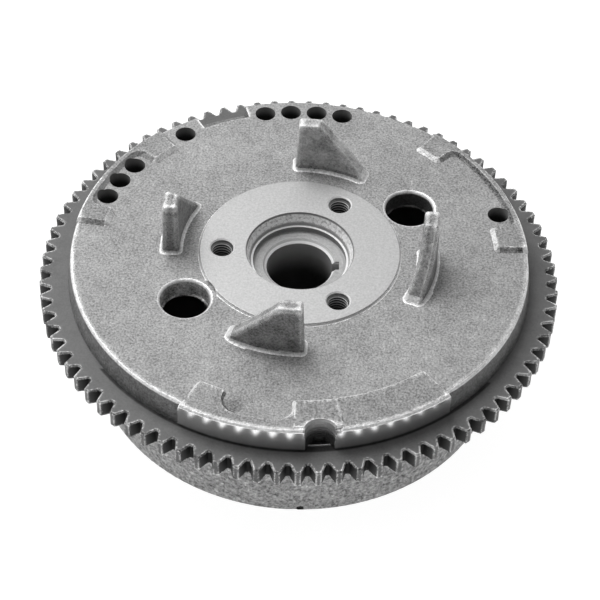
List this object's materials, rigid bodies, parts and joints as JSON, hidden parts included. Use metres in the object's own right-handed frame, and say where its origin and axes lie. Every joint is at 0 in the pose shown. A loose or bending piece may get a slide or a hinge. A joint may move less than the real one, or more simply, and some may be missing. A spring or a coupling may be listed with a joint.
{
  "type": "flywheel",
  "caption": "Iron magneto flywheel with a steel starter ring gear, curved cooling fins on the disc, a keyed taper hub and magnets inside the skirt.",
  "frame": {"origin": "on the crankshaft axis, in the plane of the skirt's open rim", "axes": "+Z along the crankshaft axis, away from the engine, out through the hub face and fins; +X through the keyway"},
  "size_m": [0.1841, 0.1842, 0.0733],
  "materials": {
    "cast_iron": "fine sand-cast skin, machined on the hub face, crank hole and front band",
    "gear_steel": "smooth dark machined steel",
    "ferrite": "ground dark ferrite",
    "spacer_plastic": "matt black moulding",
    "sleeve_steel": "thin drawn stainless"
  },
  "bodies": {
    "root": {"flywheel_casting": "cast_iron", "starter_ring_gear": "gear_steel", "magnet_sleeve": "sleeve_steel", "magnet_01": "ferrite", "magnet_02": "ferrite", "magnet_03": "ferrite", "magnet_04": "ferrite", "magnet_05": "ferrite", "magnet_06": "ferrite", "magnet_07": "ferrite", "magnet_08": "ferrite", "magnet_09": "ferrite", "magnet_10": "ferrite", "magnet_11": "ferrite", "magnet_12": "ferrite", "magnet_spacer_01": "spacer_plastic", "magnet_spacer_02": "spacer_plastic", "magnet_spacer_03": "spacer_plastic", "magnet_spacer_04": "spacer_plastic", "magnet_spacer_05": "spacer_plastic", "magnet_spacer_06": "spacer_plastic", "magnet_spacer_07": "spacer_plastic", "magnet_spacer_08": "spacer_plastic", "magnet_spacer_09": "spacer_plastic", "magnet_spacer_10": "spacer_plastic", "magnet_spacer_11": "spacer_plastic", "magnet_spacer_12": "spacer_plastic"}
  },
  "joints": []
}
